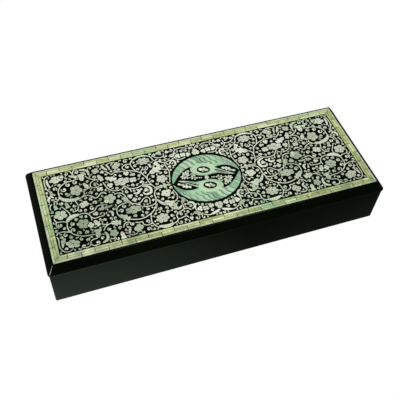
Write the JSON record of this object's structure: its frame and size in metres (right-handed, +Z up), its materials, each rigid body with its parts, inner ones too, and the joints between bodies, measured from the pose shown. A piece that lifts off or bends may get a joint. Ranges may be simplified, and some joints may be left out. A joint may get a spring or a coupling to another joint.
{
  "type": "brush box",
  "caption": "Long low black lacquered box for writing brushes, with a bevelled lift-off lid inlaid with a tiled shell border, a vine scroll and an oval medallion.",
  "frame": {"origin": "middle of the underside, on the surface that the box stands on", "axes": "+X along the box, -Y towards the front, +Z up through the lid"},
  "size_m": [0.25, 0.091, 0.0394],
  "materials": {
    "lacquer": "deep black lacquer, polished to a high gloss",
    "lining": "short-pile velvet",
    "border_shell": "yellow-green mother of pearl, polished under lacquer",
    "pale_shell": "silver-grey mother of pearl, polished under lacquer",
    "green_shell": "green abalone shell with wavy figure, polished under lacquer"
  },
  "bodies": {
    "base": {"base_wall_front": "lacquer", "base_wall_back": "lacquer", "base_wall_left": "lacquer", "base_wall_right": "lacquer", "base_floor": "lacquer", "base_liner_front": "lacquer", "base_liner_back": "lacquer", "base_liner_left": "lacquer", "base_liner_right": "lacquer", "base_lining": "lining"},
    "lid": {"lid_rail_front": "lacquer", "lid_rail_back": "lacquer", "lid_rail_left": "lacquer", "lid_rail_right": "lacquer", "lid_panel": "lacquer", "lid_lining": "lining", "border_outer_front": "border_shell", "border_outer_back": "border_shell", "border_outer_left": "border_shell", "border_outer_right": "border_shell", "border_middle_front": "border_shell", "border_middle_back": "border_shell", "border_middle_left": "border_shell", "border_middle_right": "border_shell", "border_inner_front": "border_shell", "border_inner_back": "border_shell", "border_inner_left": "border_shell", "border_inner_right": "border_shell", "scroll_front_left": "pale_shell", "scroll_front_right": "pale_shell", "scroll_back_left": "pale_shell", "scroll_back_right": "pale_shell", "blossom_outer_left": "pale_shell", "blossom_outer_right": "pale_shell", "bud_left": "pale_shell", "bud_right": "pale_shell", "blossom_inner_left": "pale_shell", "blossom_inner_right": "pale_shell", "bud_inner_left": "pale_shell", "bud_inner_right": "pale_shell", "trefoil_front": "pale_shell", "trefoil_back": "pale_shell", "pointer_leaf_left": "pale_shell", "pointer_leaf_right": "pale_shell", "medallion_swirl_back": "green_shell", "medallion_swirl_front": "green_shell", "medallion_eye_back": "pale_shell", "medallion_eye_front": "pale_shell", "medallion_spray_left": "pale_shell", "medallion_spray_right": "pale_shell", "medallion_cluster_left": "pale_shell", "medallion_cluster_right": "pale_shell", "medallion_star": "pale_shell"}
  },
  "joints": [
    {"name": "lid_lift", "type": "slide", "parent": "base", "child": "lid", "axis": [0, 0, 1], "range_m": [0, 0.06]}
  ]
}
